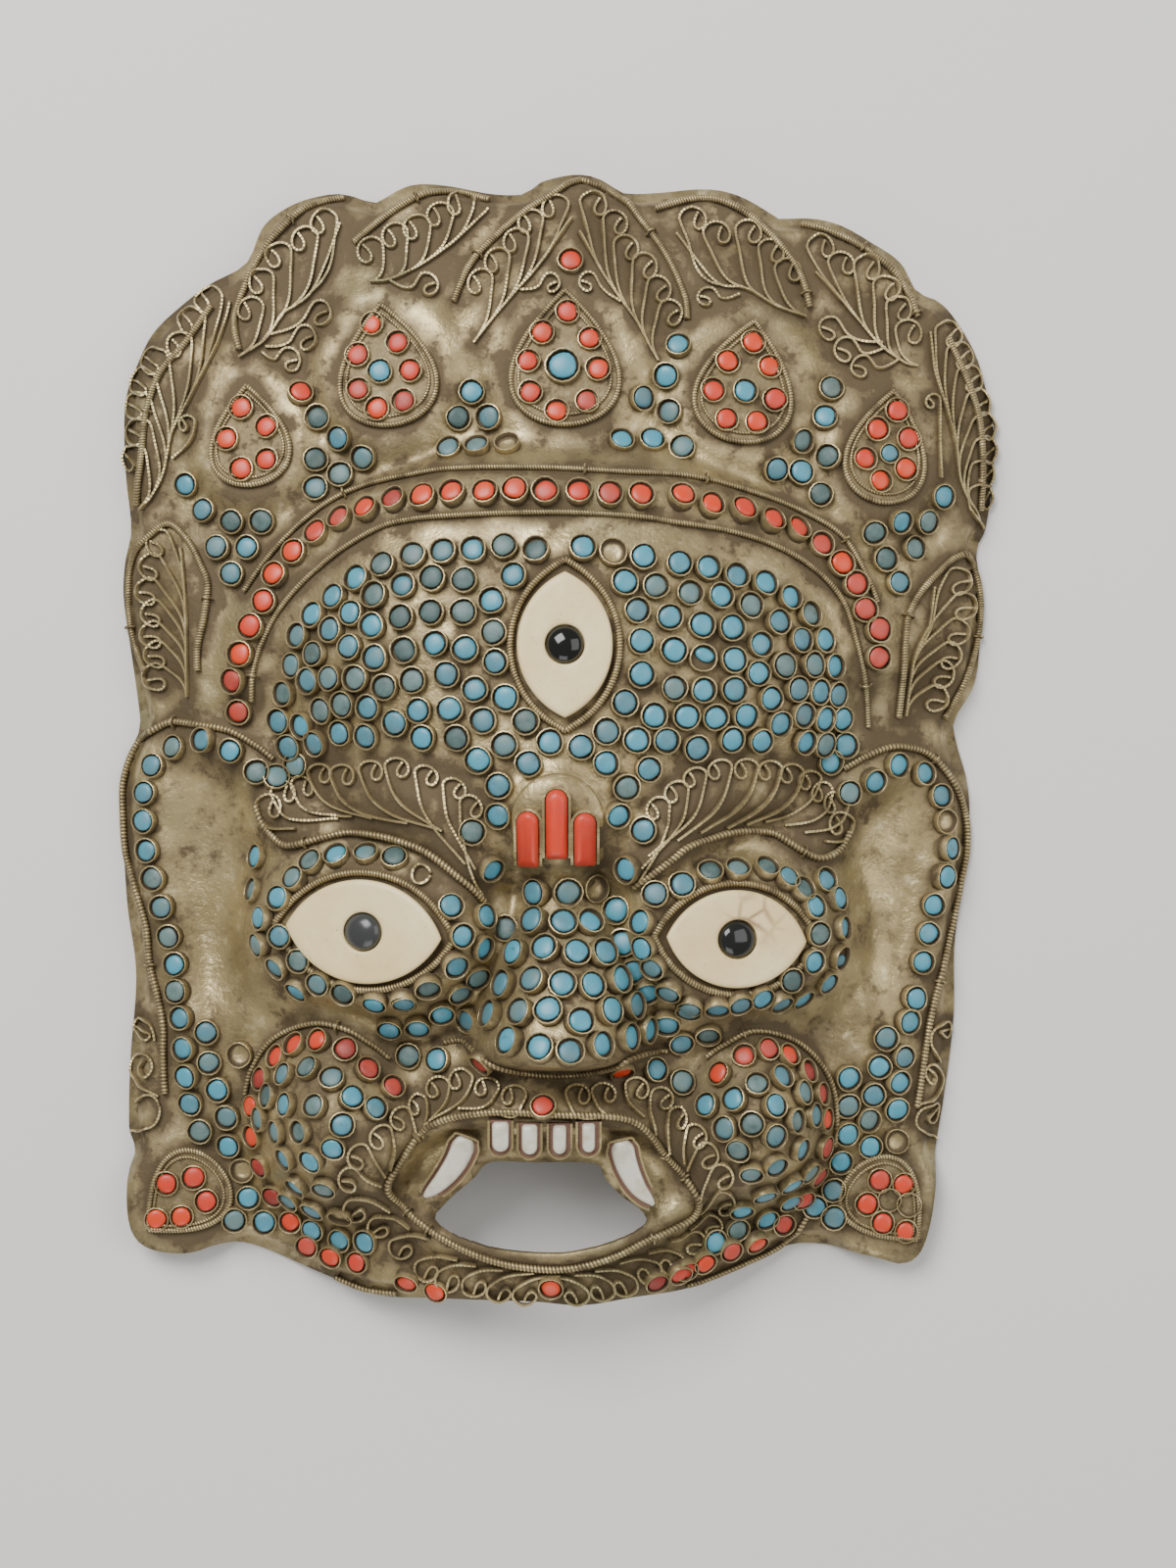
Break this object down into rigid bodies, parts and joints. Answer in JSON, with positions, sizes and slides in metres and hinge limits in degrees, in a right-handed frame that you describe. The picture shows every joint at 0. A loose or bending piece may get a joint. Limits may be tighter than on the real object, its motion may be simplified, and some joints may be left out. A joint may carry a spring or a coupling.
{
  "type": "mask",
  "caption": "Embossed brass mask of a wrathful guardian deity with leaf crown, coral and turquoise stones, bone eyes and open fanged mouth.",
  "frame": {"origin": "middle of the mask's bounding box, on the floor that the back rim lies on", "axes": "+Z out of the face, +Y towards the top of the crown, +X towards the viewer's right of the face"},
  "size_m": [0.2091, 0.2662, 0.0514],
  "materials": {
    "embossed_brass": "aged, silvery worn high spots, dark grime in the recesses",
    "twisted_wire": "aged, worn bright",
    "coral": "polished, in bezels",
    "turquoise": "polished, in bezels",
    "bone": "satin, fine cracks",
    "tooth": "satin",
    "black_glass": "gloss"
  },
  "bodies": {
    "root": {"mask_sheet": "embossed_brass", "third_eye": "bone", "left_eye": "bone", "right_eye": "bone", "third_eye_pupil": "black_glass", "left_eye_pupil": "black_glass", "right_eye_pupil": "black_glass", "third_eye_frame": "twisted_wire", "left_eye_frame": "twisted_wire", "right_eye_frame": "twisted_wire", "coral_bar_left": "coral", "coral_bar_middle": "coral", "coral_bar_right": "coral", "coral_row": "coral", "corner_jewel_left": "coral", "corner_jewel_right": "coral", "fang_left": "tooth", "fang_right": "tooth", "crown_jewel_1": "coral", "crown_jewel_2": "coral", "crown_jewel_3": "coral", "crown_jewel_4": "coral", "crown_jewel_5": "coral", "tooth_1": "tooth", "tooth_2": "tooth", "tooth_3": "tooth", "tooth_4": "tooth", "diadem_wire_upper": "twisted_wire", "diadem_wire_lower": "twisted_wire", "ear_wire_left": "twisted_wire", "ear_wire_right": "twisted_wire", "brow_wire_left": "twisted_wire", "brow_wire_right": "twisted_wire", "lip_wire": "twisted_wire", "cheek_wire_left": "twisted_wire", "cheek_wire_right": "twisted_wire", "nose_wire": "twisted_wire", "chin_wire_left": "twisted_wire", "chin_wire_right": "twisted_wire", "leaf_wire_1": "twisted_wire", "leaf_wire_2": "twisted_wire", "leaf_wire_3": "twisted_wire", "leaf_wire_4": "twisted_wire", "leaf_wire_5": "twisted_wire", "leaf_wire_6": "twisted_wire", "leaf_wire_7": "twisted_wire", "leaf_wire_8": "twisted_wire", "leaf_wire_9": "twisted_wire", "leaf_wire_10": "twisted_wire"}
  },
  "joints": []
}
